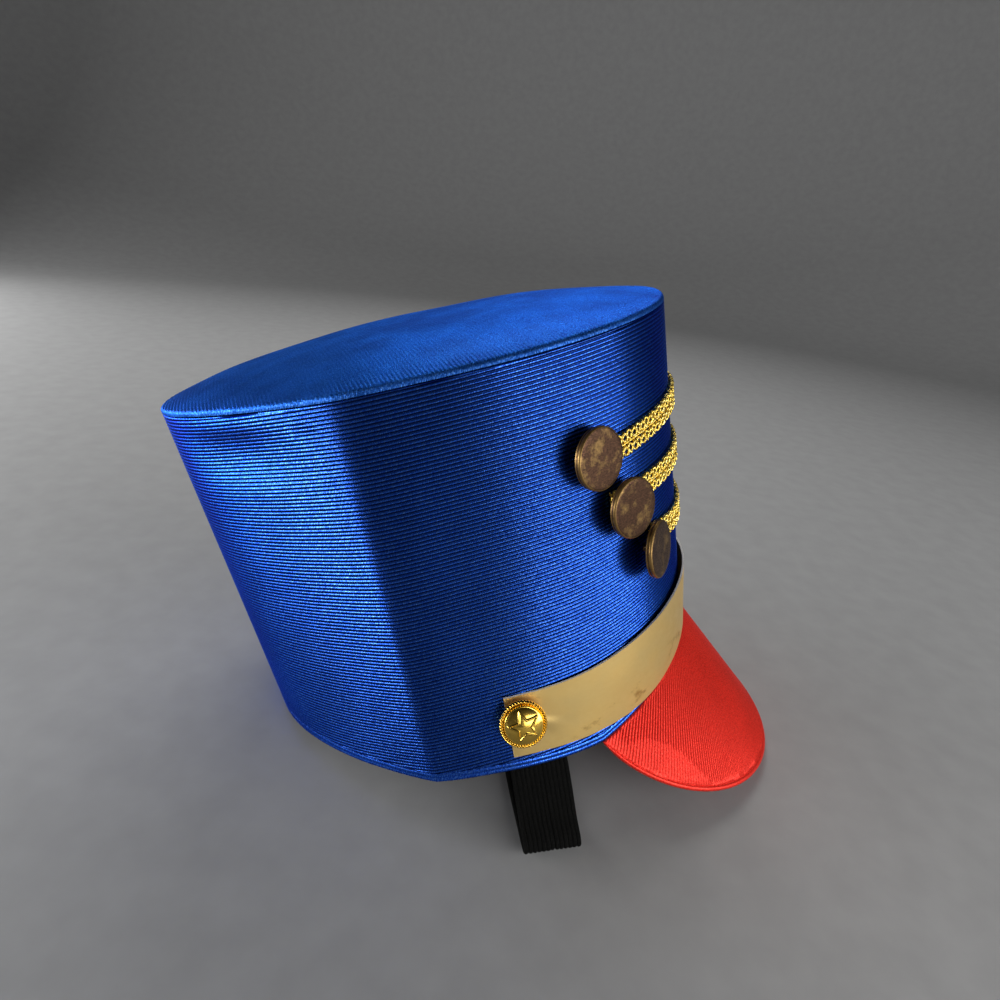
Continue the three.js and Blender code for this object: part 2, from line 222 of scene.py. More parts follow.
def to_row(points):
    """Points of the hat's own frame, in the row frame in metres."""
    points = np.asarray(points, float)
    x, y, z = points[..., 0], points[..., 1], points[..., 2]
    across = y * math.cos(TILT) + z * math.sin(TILT)
    height = z * math.cos(TILT) - y * math.sin(TILT)
    return np.stack([x, across, height], -1) * MM + np.array(RIM_MOUNT["pos_m"])


def unit(vectors):
    return vectors / np.linalg.norm(vectors, axis=-1, keepdims=True)


def oval(half_width, half_length, roundness, angle):
    turn = np.radians(angle)
    power = 2 / roundness
    x = -half_width * np.sign(np.sin(turn)) * np.abs(np.sin(turn)) ** power
    y = -half_length * np.sign(np.cos(turn)) * np.abs(np.cos(turn)) ** power
    return np.stack([x, y, np.zeros_like(x)], -1)


def plain_wall(angle, rise):
    angle, rise = np.broadcast_arrays(np.asarray(angle, float), np.asarray(rise, float))
    rim = oval(RIM_HALF_WIDTH, RIM_HALF_LENGTH, RIM_ROUNDNESS, angle)
    top = oval(TOP_HALF_WIDTH, TOP_HALF_LENGTH, TOP_ROUNDNESS, angle)
    leaned = np.stack(
        [
            top[..., 0],
            top[..., 1] * math.cos(TOP_LEAN) + TOP_SET_BACK,
            TOP_HEIGHT - top[..., 1] * math.sin(TOP_LEAN),
        ],
        -1,
    )
    return rim + (leaned - rim) * rise[..., None]


def fade(distance):
    return np.where(distance >= 1, 0, 0.5 + 0.5 * np.cos(np.pi * np.minimum(distance, 1)))


def round_angle(angle):
    return np.abs((np.asarray(angle, float) + 180) % 360 - 180)


def fold_depth(angle, rise):
    depth = np.zeros(np.broadcast(angle, rise).shape)
    for _, middle, half_width, level, reach, out in FOLDS:
        across = fade(np.abs(round_angle(angle) - middle) / half_width)
        depth = depth + out * across * fade(np.abs(rise - level) / reach)
    beside = np.clip(1 - np.abs(round_angle(angle) - CREASE_ANGLE) / CREASE_HALF_WIDTH, 0, 1)
    height = fade(np.abs(rise - CREASE_RISE) / CREASE_REACH)
    return depth + CREASE_OUT * beside**CREASE_POWER * height


def wall(angle, rise, out):
    """Points out millimetres outside the outer face of the crown wall."""
    angle, rise, out = np.broadcast_arrays(*(np.asarray(a, float) for a in (angle, rise, out)))
    along = plain_wall(angle + 0.5, rise) - plain_wall(angle - 0.5, rise)
    outward = unit(np.stack([-along[..., 1], along[..., 0], np.zeros_like(out)], -1))
    return plain_wall(angle, rise) + outward * (fold_depth(angle, rise) + out)[..., None]


def rim_rise(angle):
    share = np.minimum(round_angle(angle) / PEAK_HALF_ANGLE, 1)
    return PEAK_ARCH_RISE * np.cos(np.pi / 2 * share)


# Meshes

def add_piece(name, points, faces, materials, nodes=(), sharp=50, indices=None, groove=None):
    """A piece that rides on the hat. points are in the row frame, and groove, from 0 to 1, is
    painted shade that grows with the depth between two ribs and on the downward half of each rib."""
    mesh = bpy.data.meshes.new(name)
    mesh.from_pydata(np.asarray(points).tolist(), [], [list(map(int, f)) for f in faces])
    for material in materials:
        mesh.materials.append(material)
    if indices is not None:
        mesh.polygons.foreach_set("material_index", np.asarray(indices, np.int32))
    if groove is not None:
        attribute = mesh.attributes.new("groove", "FLOAT", "POINT")
        attribute.data.foreach_set("value", np.asarray(groove, np.float32))
    mesh.shade_smooth()
    mesh.set_sharp_from_angle(angle=math.radians(sharp))
    mesh.validate()
    piece = bpy.data.objects.new(name, mesh)
    bpy.context.scene.collection.objects.link(piece)
    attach(piece, "root")
    if nodes:
        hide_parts(*nodes)
    return piece


def without_empty(triangles):
    a, b, c = triangles.T
    return triangles[(a != b) & (b != c) & (c != a)]


def split_quads(quads):
    """Two triangles for each quad, without those that have closed up."""
    return without_empty(np.concatenate([quads[:, [0, 1, 2]], quads[:, [0, 2, 3]]]))


def grid_quads(ids, closed):
    """Quads between neighbouring columns of a grid of point numbers, ids[column, row]."""
    after = np.roll(ids, -1, 0) if closed else ids[1:]
    before = ids if closed else ids[:-1]
    quads = [before[:, :-1], before[:, 1:], after[:, 1:], after[:, :-1]]
    return np.stack(quads, -1).reshape(-1, 4)


def solid_sheet(front, back, closed=False):
    """Points and triangles of a closed solid between two grids of points [column, row]."""
    columns, rows = front.shape[:2]
    count = columns * rows
    points = np.concatenate([front.reshape(-1, 3), back.reshape(-1, 3)])
    ids = np.arange(count).reshape(columns, rows)
    quads = [grid_quads(ids, closed), grid_quads(ids + count, closed)[:, ::-1]]
    for row, order in ((0, -1), (rows - 1, 1)):
        wall_ids = np.stack([ids[:, row], ids[:, row] + count], -1)
        quads.append(grid_quads(wall_ids, closed)[:, ::order])
    if not closed:
        for column, order in ((0, 1), (columns - 1, -1)):
            wall_ids = np.stack([ids[column], ids[column] + count], -1)
            quads.append(grid_quads(wall_ids, False)[:, ::order])
    return points, np.concatenate(quads)


def ribbed_rows(values, low, high):
    """values[column, row] clipped to low and high of each column, and point numbers in which
    the rows beyond an edge all share the point on that edge."""
    clipped = np.clip(values, low[:, None], high[:, None])
    rows = np.arange(values.shape[1])
    first = np.maximum((values <= low[:, None]).sum(1) - 1, 0)
    last = np.minimum((values < high[:, None]).sum(1), values.shape[1] - 1)
    shared = np.clip(rows[None], first[:, None], last[:, None])
    used = rows[None] == shared
    numbers = np.cumsum(used.ravel()).reshape(used.shape) - 1
    ids = np.take_along_axis(numbers, shared, 1)
    return clipped, used, ids


def rib(distance, pitch):
    """Depth below the crests of ribs that are pitch apart."""
    return RIB_DEPTH * (np.abs(np.cos(np.pi * distance / pitch)) - 1)


def tube(path, radius, sides, outward):
    """Points and quads of a closed round tube along a path."""
    along = unit(np.gradient(path, axis=0))
    side = unit(np.cross(along, outward))
    up = np.cross(side, along)
    turns = 2 * np.pi * np.arange(sides) / sides
    ring = np.cos(turns)[None, :, None] * side[:, None] + np.sin(turns)[None, :, None] * up[:, None]
    points = path[:, None] + np.asarray(radius).reshape(-1, 1, 1) * ring
    count = len(path) * sides
    ids = np.arange(count).reshape(len(path), sides)
    quads = grid_quads(np.concatenate([ids, ids[:, :1]], 1), False)
    fans = []
    for end, order in ((0, 1), (len(path) - 1, -1)):
        middle = count + (0 if end == 0 else 1)
        for k in range(sides):
            fan = [ids[end, k], ids[end, (k + 1) % sides], middle, middle]
            fans.append(fan[::order])
    ends = np.stack([path[0], path[-1]])
    return np.concatenate([points.reshape(-1, 3), ends]), np.concatenate([quads, np.array(fans)])


def joined(parts):
    """One set of points and triangles from several."""
    points, triangles, count = [], [], 0
    for part_points, part_quads in parts:
        points.append(part_points)
        triangles.append(split_quads(np.asarray(part_quads) + count))
        count += len(part_points)
    return np.concatenate(points), np.concatenate(triangles)


# Materials

def new_material(name):
    material = bpy.data.materials.new(name)
    material.use_nodes = True
    shader = material.node_tree.nodes["Principled BSDF"]
    return material, material.node_tree, shader


def noise(tree, scale, detail=2.0, stretch=(1, 1, 1), roughness=0.5):
    """Noise in the object's own coordinates, scale cells to the metre."""
    place = tree.nodes.new("ShaderNodeTexCoord")
    mapping = tree.nodes.new("ShaderNodeMapping")
    mapping.inputs["Scale"].default_value = stretch
    texture = tree.nodes.new("ShaderNodeTexNoise")
    texture.inputs["Scale"].default_value = scale
    texture.inputs["Detail"].default_value = detail
    texture.inputs["Roughness"].default_value = roughness
    tree.links.new(place.outputs["Object"], mapping.inputs["Vector"])
    tree.links.new(mapping.outputs["Vector"], texture.inputs["Vector"])
    return texture.outputs["Fac"]


def ramp(tree, factor, stops):
    """Colours or values along a factor: stops are (position, colour)."""
    node = tree.nodes.new("ShaderNodeValToRGB")
    elements = node.color_ramp.elements
    while len(elements) < len(stops):
        elements.new(0.5)
    for element, (position, colour) in zip(elements, stops):
        element.position = position
        element.color = (*colour, 1) if len(colour) == 3 else colour
    tree.links.new(factor, node.inputs["Fac"])
    return node.outputs["Color"]


def value_ramp(tree, factor, low, high, low_value, high_value):
    node = tree.nodes.new("ShaderNodeMapRange")
    node.inputs["From Min"].default_value = low
    node.inputs["From Max"].default_value = high
    node.inputs["To Min"].default_value = low_value
    node.inputs["To Max"].default_value = high_value
    tree.links.new(factor, node.inputs["Value"])
    return node.outputs["Result"]


def blend_colours(tree, factor, first, second, mode="MIX"):
    node = tree.nodes.new("ShaderNodeMix")
    node.data_type = "RGBA"
    node.blend_type = mode
    sockets = [s for s in node.inputs if s.type == "RGBA"]
    for socket, value in zip(sockets, (first, second)):
        if isinstance(value, bpy.types.NodeSocket):
            tree.links.new(value, socket)
        else:
            socket.default_value = (*value, 1)
    if isinstance(factor, bpy.types.NodeSocket):
        tree.links.new(factor, node.inputs[0])
    else:
        node.inputs[0].default_value = factor
    return next(s for s in node.outputs if s.type == "RGBA")


def bump(tree, shader, height, strength, depth_mm):
    node = tree.nodes.new("ShaderNodeBump")
    node.inputs["Strength"].default_value = strength
    node.inputs["Distance"].default_value = depth_mm * MM
    tree.links.new(height, node.inputs["Height"])
    tree.links.new(node.outputs["Normal"], shader.inputs["Normal"])


# Shades of the satin threads, from the darkest to the lightest
BLUES = [(0.006, 0.040, 0.34), (0.022, 0.120, 0.68), (0.090, 0.270, 0.94)]
TOP_BLUES = [(0.006, 0.046, 0.25), (0.021, 0.115, 0.50), (0.080, 0.250, 0.75)]
THREAD_BLUES = [(0.002, 0.014, 0.11), (0.006, 0.034, 0.22), (0.020, 0.070, 0.32)]
REDS = [(0.62, 0.018, 0.011), (0.92, 0.040, 0.025), (1.00, 0.070, 0.042)]
BLUE_EDGE = (0.08, 0.30, 1.0)
# How dark the painted shade in the grooves and under the ribs gets, as a share of the darkest thread
GROOVE_SHADE = 0.15


def satin(name, shades, metallic, roughness, edge_tint, mottle=0.1, relief=0.06, coat=0.0):
    """Ribbed satin: fine threads cross each rib and the tone changes slowly at random; the groove
    attribute paints shade into the grooves and on the downward halves of the ribs.
    """
    material, tree, shader = new_material(name)
    threads = noise(tree, 2600, 1.0, (1, 1, 0.25))
    slow = noise(tree, 34, 3.0, (1, 1, 1), 0.6)
    shade = ramp(tree, threads, list(zip((0.3, 0.52, 0.72), shades)))
    low = 1 - mottle
    tone = ramp(tree, slow, [(0.36, (low, low, low)), (0.62, (1, 1, 1))])
    toned = blend_colours(tree, 1.0, shade, tone, "MULTIPLY")
    groove = tree.nodes.new("ShaderNodeAttribute")
    groove.attribute_name = "groove"
    # Painted shade: the colour that the groove attribute blends in at the grooves and under the ribs
    painted_groove_shade = tuple(GROOVE_SHADE * channel for channel in shades[0])
    colour = blend_colours(tree, groove.outputs["Fac"], toned, painted_groove_shade)
    tree.links.new(colour, shader.inputs["Base Color"])
    rough = value_ramp(tree, threads, 0.3, 0.7, roughness + 0.1, roughness - 0.08)
    tree.links.new(rough, shader.inputs["Roughness"])
    shader.inputs["Metallic"].default_value = metallic
    shader.inputs["Specular Tint"].default_value = (*edge_tint, 1)
    shader.inputs["Coat Weight"].default_value = coat
    shader.inputs["Coat Roughness"].default_value = 0.3
    bump(tree, shader, threads, 0.5, relief)
    return material


def foil():
    """Gold foil vinyl with rubbed and dulled marks."""
    material, tree, shader = new_material("gold_foil")
    marks = noise(tree, 55, 5.0, (1, 1, 1.6), 0.65)
    fine = noise(tree, 900, 2.0)
    colour = ramp(
        tree,
        marks,
        [(0.28, (0.40, 0.23, 0.06)), (0.38, (0.76, 0.52, 0.18)), (0.7, (0.86, 0.62, 0.24))],
    )
    tree.links.new(colour, shader.inputs["Base Color"])
    rough = value_ramp(tree, marks, 0.3, 0.75, 0.45, 0.3)
    tree.links.new(rough, shader.inputs["Roughness"])
    shader.inputs["Metallic"].default_value = 0.8
    bump(tree, shader, fine, 0.12, 0.05)
    return material


def vinyl_edge():
    material, tree, shader = new_material("vinyl_edge")
    fine = noise(tree, 1400, 2.0)
    tree.links.new(
        ramp(tree, fine, [(0.3, (0.74, 0.69, 0.58)), (0.7, (0.92, 0.89, 0.82))]),
        shader.inputs["Base Color"],
    )
    shader.inputs["Roughness"].default_value = 0.6
    return material


def braid_gold():
    material, tree, shader = new_material("braid_gold")
    glint = noise(tree, 1500, 2.0)
    colour = ramp(
        tree,
        glint,
        [(0.3, (0.55, 0.33, 0.03)), (0.5, (0.95, 0.68, 0.12)), (0.68, (1.0, 0.86, 0.36))],
    )
    tree.links.new(colour, shader.inputs["Base Color"])
    tree.links.new(value_ramp(tree, glint, 0.3, 0.7, 0.42, 0.2), shader.inputs["Roughness"])
    shader.inputs["Metallic"].default_value = 1.0
    bump(tree, shader, noise(tree, 4200, 1.0), 0.5, 0.08)
    return material


def bronze(name, low, high):
    """Dull brown bronze, rubbed to gold where the noise passes from low to high."""
    material, tree, shader = new_material(name)
    patches = noise(tree, 140, 5.0, (1, 1, 1), 0.7)
    scuffs = noise(tree, 1300, 3.0, (1, 0.5, 1.5))
    rubbed = ramp(tree, patches, [(low, (0, 0, 0)), (high, (0.6, 0.6, 0.6))])
    body = ramp(tree, scuffs, [(0.3, (0.030, 0.014, 0.007)), (0.7, (0.085, 0.040, 0.020))])
    colour = blend_colours(tree, rubbed, body, (0.40, 0.25, 0.08))
    tree.links.new(colour, shader.inputs["Base Color"])
    tree.links.new(value_ramp(tree, scuffs, 0.3, 0.7, 0.5, 0.33), shader.inputs["Roughness"])
    shader.inputs["Metallic"].default_value = 0.85
    bump(tree, shader, scuffs, 0.12, 0.06)
    return material


def polished_gold():
    material, tree, shader = new_material("polished_gold")
    haze = noise(tree, 220, 3.0)
    tree.links.new(
        ramp(tree, haze, [(0.3, (0.66, 0.40, 0.055)), (0.7, (0.86, 0.58, 0.12))]),
        shader.inputs["Base Color"],
    )
    tree.links.new(value_ramp(tree, haze, 0.3, 0.7, 0.2, 0.12), shader.inputs["Roughness"])
    shader.inputs["Metallic"].default_value = 1.0
    return material


def elastic():
    """Black elastic with a fuzz of lighter fibres."""
    material, tree, shader = new_material("black_elastic")
    fibres = noise(tree, 2200, 2.0, (0.5, 1, 1))
    tree.links.new(
        ramp(tree, fibres, [(0.4, (0.001, 0.001, 0.001)), (0.75, (0.008, 0.008, 0.007))]),
        shader.inputs["Base Color"],
    )
    shader.inputs["Roughness"].default_value = 0.88
    shader.inputs["Specular IOR Level"].default_value = 0.08
    bump(tree, shader, fibres, 0.5, 0.2)
    return material


FLOOR_DARK = 0.31
FLOOR_LIGHT = 0.34


def plain_floor():
    material, tree, shader = new_material("plain_floor")
    grain = noise(tree, 60, 3.0)
    tree.links.new(
        ramp(tree, grain, [(0.3, (FLOOR_DARK,) * 3), (0.7, (FLOOR_LIGHT,) * 3)]),
        shader.inputs["Base Color"],
    )
    shader.inputs["Roughness"].default_value = 0.8
    return material


# Chin strap

def smooth_route(points, steps):
    """A centripetal Catmull-Rom curve through points, at even steps of its length."""
    points = np.asarray(points, float)
    before = 2 * points[:1] - points[1:2]
    after = 2 * points[-1:] - points[-2:-1]
    knots = np.concatenate([before, points, after])
    fine = []
    share = np.linspace(0, 1, 40, endpoint=False)[:, None]
    for p0, p1, p2, p3 in zip(knots, knots[1:], knots[2:], knots[3:]):
        d0, d1, d2 = (np.linalg.norm(b - a) ** 0.5 for a, b in ((p0, p1), (p1, p2), (p2, p3)))
        start = ((p1 - p0) / d0 - (p2 - p0) / (d0 + d1) + (p2 - p1) / d1) * d1
        end = ((p2 - p1) / d1 - (p3 - p1) / (d1 + d2) + (p3 - p2) / d2) * d1
        square = -3 * p1 + 3 * p2 - 2 * start - end
        cube = 2 * p1 - 2 * p2 + start + end
        fine.append(p1 + start * share + square * share**2 + cube * share**3)
    fine = np.concatenate(fine + [points[-1:]])
    lengths = np.concatenate([[0], np.cumsum(np.linalg.norm(np.diff(fine, axis=0), axis=1))])
    even = np.linspace(0, lengths[-1], steps)
    path = np.stack([np.interp(even, lengths, fine[:, k]) for k in range(3)], -1)
    return path, lengths[-1]


def strap_section():
    """Closed section of the strap as (across, height) in millimetres: rows of cords."""
    samples = STRAP_CORDS * 4 + 1
    share = np.linspace(0, 1, samples)
    across = (share - 0.5) * (STRAP_WIDTH - 0.5)
    cords = np.abs(np.sin(np.pi * share * STRAP_CORDS)) ** 0.7
    middle = 0.25 * np.exp(-(((share - 0.47) * 26) ** 2))
    half = STRAP_THICKNESS / 2
    top = half * (0.3 + 0.7 * cords) - middle
    upper = np.stack([across, top], -1)
    lower = np.stack([across[::-1], -half * (0.3 + 0.7 * cords[::-1])], -1)
    return np.concatenate([upper, lower])


def add_strap():
    right = [np.array(p, float) for p in STRAP_ROUTE]
    left = [p * np.array([-1, 1, 1]) for p in right[-2::-1]]
    path, length = smooth_route(right + left, 361)
    swing = STRAP_SWING * path[:, 0] / STRAP_HALF_SPAN
    lift = np.clip((path[:, 2] - STRAP_LEAN_FROM) / (STRAP_LEAN_TO - STRAP_LEAN_FROM), 0, 1)
    lean = STRAP_LEAN * lift * lift * (3 - 2 * lift)
    across = unit(np.stack([np.sin(swing), np.cos(swing), -np.tan(lean)], -1))
    normal = unit(np.cross(across, unit(np.gradient(path, axis=0))))
    section = strap_section()
    points = path[:, None] + section[None, :, :1] * across[:, None]
    points = points + section[None, :, 1:] * normal[:, None]
    rings, sides = points.shape[:2]
    ids = np.arange(rings * sides).reshape(rings, sides)
    quads = grid_quads(np.concatenate([ids, ids[:, :1]], 1), False)
    half = sides // 2
    ends = []
    for ring, order in ((0, 1), (rings - 1, -1)):
        pairs = np.stack([ids[ring, :half], ids[ring, half:][::-1]], -1)
        ends.append(grid_quads(pairs, False)[:, ::order])
    faces = split_quads(np.concatenate([quads] + ends))
    strap = add_piece(
        "chin_strap_elastic",
        points.reshape(-1, 3) * MM,
        faces,
        [elastic()],
        ["chin_strap"],
    )


# Crown

# Loops of the turned hem at the rim: millimetres above the rim, and out
HEM_LOOPS = [
    (3.9, -0.42),
    (3.5, -0.16),
    (3.0, 0.02),
    (2.5, -0.1),
    (2.1, -0.3),
    (1.7, -0.1),
    (1.2, 0.02),
    (0.7, -0.08),
    (0.3, -0.35),
    (0.05, -0.8),
    (0.05, -1.3),
    (0.5, -1.8),
    (4.0, -2.0),
]
HEM_HEIGHT = 4.3

# Loops over the top edge of the wall: millimetres below the top seam, and out
SEAM_LOOPS = [(0.3, -0.1), (0.08, -0.4), (0.02, -1.2), (0.3, -2.0)]
SEAM_HEIGHT = 0.6
INNER_RISES = np.linspace(0.94, 0.06, 9)


def crown_side(material):
    angle = 180 + 360 * np.arange(CROWN_COLUMNS) / CROWN_COLUMNS
    rim, top = plain_wall(angle, 0), plain_wall(angle, 1)
    height = np.linalg.norm(top - rim, axis=-1)
    level = np.array([0, math.sin(WALL_RIB_TILT), math.cos(WALL_RIB_TILT)])
    rim_level, top_level = rim @ level, top @ level
    step = RIB_PITCH / RIB_ROWS
    first = math.floor(rim_level.min() / step) - 1
    last = math.ceil(top_level.max() / step) + 1
    levels = step * np.arange(first, last + 1)
    rises = (levels[None] - rim_level[:, None]) / (top_level - rim_level)[:, None]
    low = rim_rise(angle) + HEM_HEIGHT / height
    high = 1 - SEAM_HEIGHT / height
    clipped, used, ids = ribbed_rows(rises, low, high)
    actual = rim_level[:, None] + clipped * (top_level - rim_level)[:, None]
    depth = rib(actual, RIB_PITCH)
    outer = wall(angle[:, None], clipped, depth)[used]

    def loop(rise, out):
        return wall(angle, rise, out)

    low_rim = rim_rise(angle)
    loops = [loop(1 - below / height, out) for below, out in SEAM_LOOPS]
    for share in INNER_RISES:
        loops.append(loop(low_rim + (1 - low_rim) * share, -CROWN_CLOTH))
    loops += [loop(low_rim + above / height, out) for above, out in HEM_LOOPS[::-1]]
    points = np.concatenate([outer] + loops)
    rings = len(outer) + np.arange(len(loops) * CROWN_COLUMNS).reshape(len(loops), -1).T
    around = np.concatenate([ids[:, -1:], rings, ids[:, :1]], 1)
    quads = np.concatenate([grid_quads(ids, True), grid_quads(around, True)])
    # Painted shade: groove darkens the colour in the grooves and on the downward half of each rib,
    # where less light falls
    under = np.maximum(-np.sin(2 * np.pi * actual / RIB_PITCH), 0)
    groove = np.zeros(len(points))
    groove[: len(outer)] = np.clip(RIB_UNDER_SHADE * under - depth / RIB_DEPTH, 0, 1)[used]
    return add_piece(
        "crown_side_cloth",
        to_row(points),
        split_quads(quads),
        [material],
        ["crown_side"],
        sharp=80,
        groove=groove,
    )


TOP_CENTRE = np.array([0, TOP_SET_BACK, TOP_HEIGHT])
TOP_ACROSS = np.array([1, 0, 0])
TOP_BACK = np.array([0, math.cos(TOP_LEAN), -math.sin(TOP_LEAN)])
TOP_NORMAL = np.array([0, math.sin(TOP_LEAN), math.cos(TOP_LEAN)])
TOP_EDGE_ROUND = 1.3
TOP_CHORD_POINTS = 41
TOP_SWELL = 0.5
TOP_RIB_SHARE = 0.12
TOP_EDGE_RIB_SHARE = 0.5
TOP_EDGE_RIB_REACH = 9


def top_outline(count=1440):
    """The edge of the top panel, in millimetres along the ribs and across them."""
    edge = wall(np.arange(count) * 360 / count, 1, 0) - TOP_CENTRE
    x, y = edge @ TOP_ACROSS, edge @ TOP_BACK
    along = x * math.cos(TOP_RIB_HEADING) + y * math.sin(TOP_RIB_HEADING)
    across = y * math.cos(TOP_RIB_HEADING) - x * math.sin(TOP_RIB_HEADING)
    return along, across


def chord_ends(along, across, levels):
    """Where lines along the ribs cross the outline."""
    start = int(across.argmin())
    along, across = np.roll(along, -start), np.roll(across, -start)
    peak = int(across.argmax())
    one = np.interp(levels, across[: peak + 1], along[: peak + 1])
    other = np.interp(levels, across[peak:][::-1], along[peak:][::-1])
    return np.minimum(one, other), np.maximum(one, other)


def top_share(along, across, outline):
    """How far out a point lies, 0 in the middle and 1 on the edge, and the reach there."""
    edge_turn = np.arctan2(outline[1], outline[0])
    order = np.argsort(edge_turn)
    reach = np.interp(
        np.arctan2(across, along),
        edge_turn[order],
        np.hypot(*outline)[order],
        period=2 * np.pi,
    )
    return np.hypot(along, across) / reach, reach


def crown_top(material):
    outline = top_outline()
    step = RIB_PITCH / RIB_ROWS
    span = outline[1].max() - 0.02
    levels = np.arange(math.ceil((outline[1].min() + 0.02) / step), math.floor(span / step) + 1) * step
    left, right = chord_ends(*outline, levels)
    swing = 0.5 - 0.5 * np.cos(np.pi * np.linspace(0, 1, TOP_CHORD_POINTS))
    along = left[:, None] + (right - left)[:, None] * swing[None]
    across = np.broadcast_to(levels[:, None], along.shape)
    share, reach = top_share(along, across, outline)
    share = np.minimum(share, 1)
    inside = (1 - share) * reach
    dome = TOP_DOME * (1 - share**TOP_DOME_POWER)
    near = np.clip(TOP_EDGE_ROUND - inside, 0, TOP_EDGE_ROUND)
    drop = TOP_EDGE_ROUND - np.sqrt(TOP_EDGE_ROUND**2 - near**2)
    swell = TOP_SWELL * np.sin(along / 23 + across / 31) * np.cos(across / 19 - along / 47)
    lift = GAP + TOP_CLOTH + dome - drop + swell * np.clip(inside / 20, 0, 1)
    near_edge = np.clip(1 - inside / TOP_EDGE_RIB_REACH, 0, 1)
    ribs = np.clip(inside / 1.2, 0.3, 1) * (TOP_RIB_SHARE + TOP_EDGE_RIB_SHARE * near_edge)
    lift = lift + rib(across, RIB_PITCH) * ribs
    x = along * math.cos(TOP_RIB_HEADING) - across * math.sin(TOP_RIB_HEADING)
    y = along * math.sin(TOP_RIB_HEADING) + across * math.cos(TOP_RIB_HEADING)
    flat = TOP_CENTRE + x[..., None] * TOP_ACROSS + y[..., None] * TOP_BACK
    front = flat + lift[..., None] * TOP_NORMAL
    back = flat + (GAP + dome)[..., None] * TOP_NORMAL
    points, quads = solid_sheet(front, back)
    return add_piece(
        "crown_top_cloth",
        to_row(points),
        split_quads(quads),
        [material],
        ["crown_top"],
        sharp=80,
    )


# Peak

def peak_line(angle):
    """Root, free edge and the downward normal of the peak's sheet at each angle."""
    bow = np.maximum(1 - (angle / PEAK_HALF_ANGLE) ** 2, 0) ** PEAK_EDGE_POWER
    length = np.maximum(PEAK_END_LENGTH, PEAK_LENGTH * bow)
    root = wall(angle, rim_rise(angle), 0)
    edge = wall(angle, 0, length * math.cos(PEAK_SLOPE))
    edge[..., 2] -= length * math.sin(PEAK_SLOPE)
    fall = unit(edge - root)
    flat = unit(fall * np.array([1, 1, 0]))
    flatness = (fall * flat).sum(-1, keepdims=True)
    below = flat * fall[..., 2:] - np.array([0, 0, 1]) * flatness
    drop = np.array([0, 0, GAP])
    return root - drop, edge - drop, below


# Loops over the free edge: millimetres inside the edge, and below the outer face
PEAK_EDGE_LOOPS = [
    (2.75, 0.4),
    (2.5, 0.42),
    (2.2, 0.1),
    (1.6, -0.05),
    (0.9, 0.0),
    (0.4, 0.25),
    (0.05, 0.75),
    (0.0, 1.25),
    (0.05, 1.8),
    (0.4, 2.3),
    (1.2, 2.5),
]
PEAK_UNDER_SHARES = np.linspace(0.9, 0.0, 8)


def peak_rib_level(points):
    """Which rib of the peak a point lies on, as a place along the middle line."""
    x, y = points[..., 0], points[..., 1]
    spread = 1 + PEAK_RIB_SPREAD * x**2
    return PEAK_RIB_STRAIGHT_Y + (y - PEAK_RIB_STRAIGHT_Y - PEAK_RIB_BEND * x**2) / spread


def thinning(length, full_from):
    """Share of the full thickness: less where the peak is shorter than full_from."""
    return np.clip(length / full_from, 0.3, 1)


def peak(material):
    angle = np.linspace(-PEAK_HALF_ANGLE, PEAK_HALF_ANGLE, PEAK_COLUMNS + 1)
    root, edge, below = peak_line(angle)
    length = np.linalg.norm(edge - root, axis=-1)
    shares = np.linspace(0, 1, 60)
    levels = peak_rib_level(root[:, None] + (edge - root)[:, None] * shares[None, :, None])
    step = PEAK_RIB_PITCH / RIB_ROWS
    rows = -step * np.arange(math.floor(-levels.max() / step), math.ceil(-levels.min() / step) + 1)
    values = np.stack([np.interp(-rows, -column, shares, -1, 2) for column in levels])
    values = values + 1e-6 * np.arange(len(rows))
    hem = np.minimum(PEAK_HEM / length, 0.6)
    clipped, used, ids = ribbed_rows(values, np.full(len(angle), 0.002), 1 - hem)
    line = root[:, None] + (edge - root)[:, None] * clipped[..., None]
    depth = -rib(peak_rib_level(line), PEAK_RIB_PITCH) * thinning(length, PEAK_RIBS_FROM)[:, None]
    outer = (line + below[:, None] * depth[..., None])[used]

    def loop(inside, depth_below):
        share = 1 - np.minimum(inside / length, 0.6 * inside / PEAK_HEM)
        depth = below * (depth_below * thinning(length, PEAK_FULL_FROM))[:, None]
        return root + (edge - root) * share[:, None] + depth

    flange = wall(angle, rim_rise(angle), -CROWN_CLOTH) - np.array([0, 0, GAP])
    thickness = below * (PEAK_CLOTH * thinning(length, PEAK_FULL_FROM))[:, None]
    loops = [loop(*pair) for pair in PEAK_EDGE_LOOPS]
    for share in PEAK_UNDER_SHARES:
        loops.append(root + (edge - root) * share + thickness)
    loops.append(flange + thickness)
    loops.append(flange)
    points = np.concatenate([outer] + loops)
    rings = len(outer) + np.arange(len(loops) * len(angle)).reshape(len(loops), -1).T
    around = np.concatenate([ids[:, -1:], rings, ids[:, :1]], 1)
    quads = [grid_quads(ids, False), grid_quads(around, False)]
    points, ends = peak_ends(points, ids, around)
    return add_piece(
        "peak_cloth",
        to_row(points),
        split_quads(np.concatenate(quads + [ends])),
        [material],
        ["peak"],
        sharp=80,
    )


def peak_ends(points, ids, around):
    """Closes the two narrow ends of the peak with fans."""
    fans = []
    for column, order in ((0, -1), (len(ids) - 1, 1)):
        ring = np.concatenate([ids[column], around[column, 1:-1]])
        ring = ring[np.concatenate([[True], np.diff(ring) != 0])]
        middle = len(points)
        points = np.concatenate([points, points[ring].mean(0, keepdims=True)])
        for one, two in zip(ring, np.roll(ring, -1)):
            fans.append([one, two, middle, middle][::order])
    return points, np.array(fans)


# Stitches

